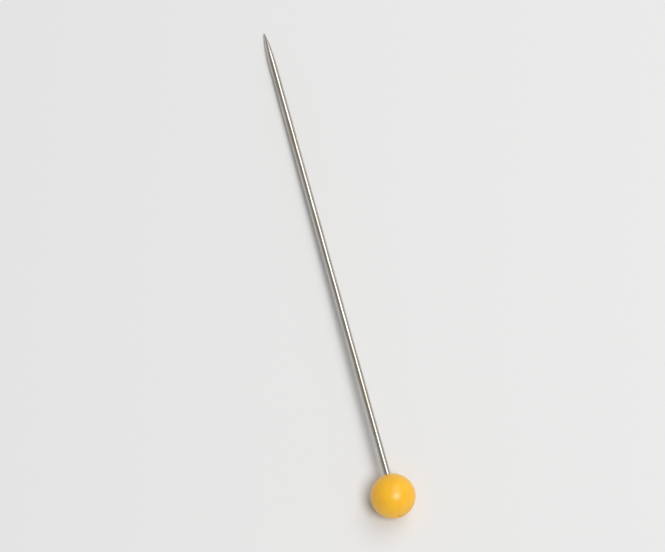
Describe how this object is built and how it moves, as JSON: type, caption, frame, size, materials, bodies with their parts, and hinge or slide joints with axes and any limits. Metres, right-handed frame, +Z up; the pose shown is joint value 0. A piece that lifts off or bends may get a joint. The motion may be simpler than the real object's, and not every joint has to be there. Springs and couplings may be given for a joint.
{
  "type": "ball-headed straight pin",
  "caption": "Slender straight steel pin with a ground point and a moulded plastic ball head, lying on its side.",
  "frame": {"origin": "on the surface that the pin lies on, midway along it", "axes": "+Z up, +Y along the surface from the head towards the point; the pin's own axis dips to the point by 2.3 degrees, because the ball is thicker than the wire"},
  "size_m": [0.0038, 0.045, 0.0038],
  "materials": {
    "plated_steel": "bright nickel-plated drawn wire, ground at the point",
    "yellow_plastic": "glossy opaque moulded plastic"
  },
  "bodies": {
    "root": {"shaft": "plated_steel", "head": "yellow_plastic"}
  },
  "joints": []
}
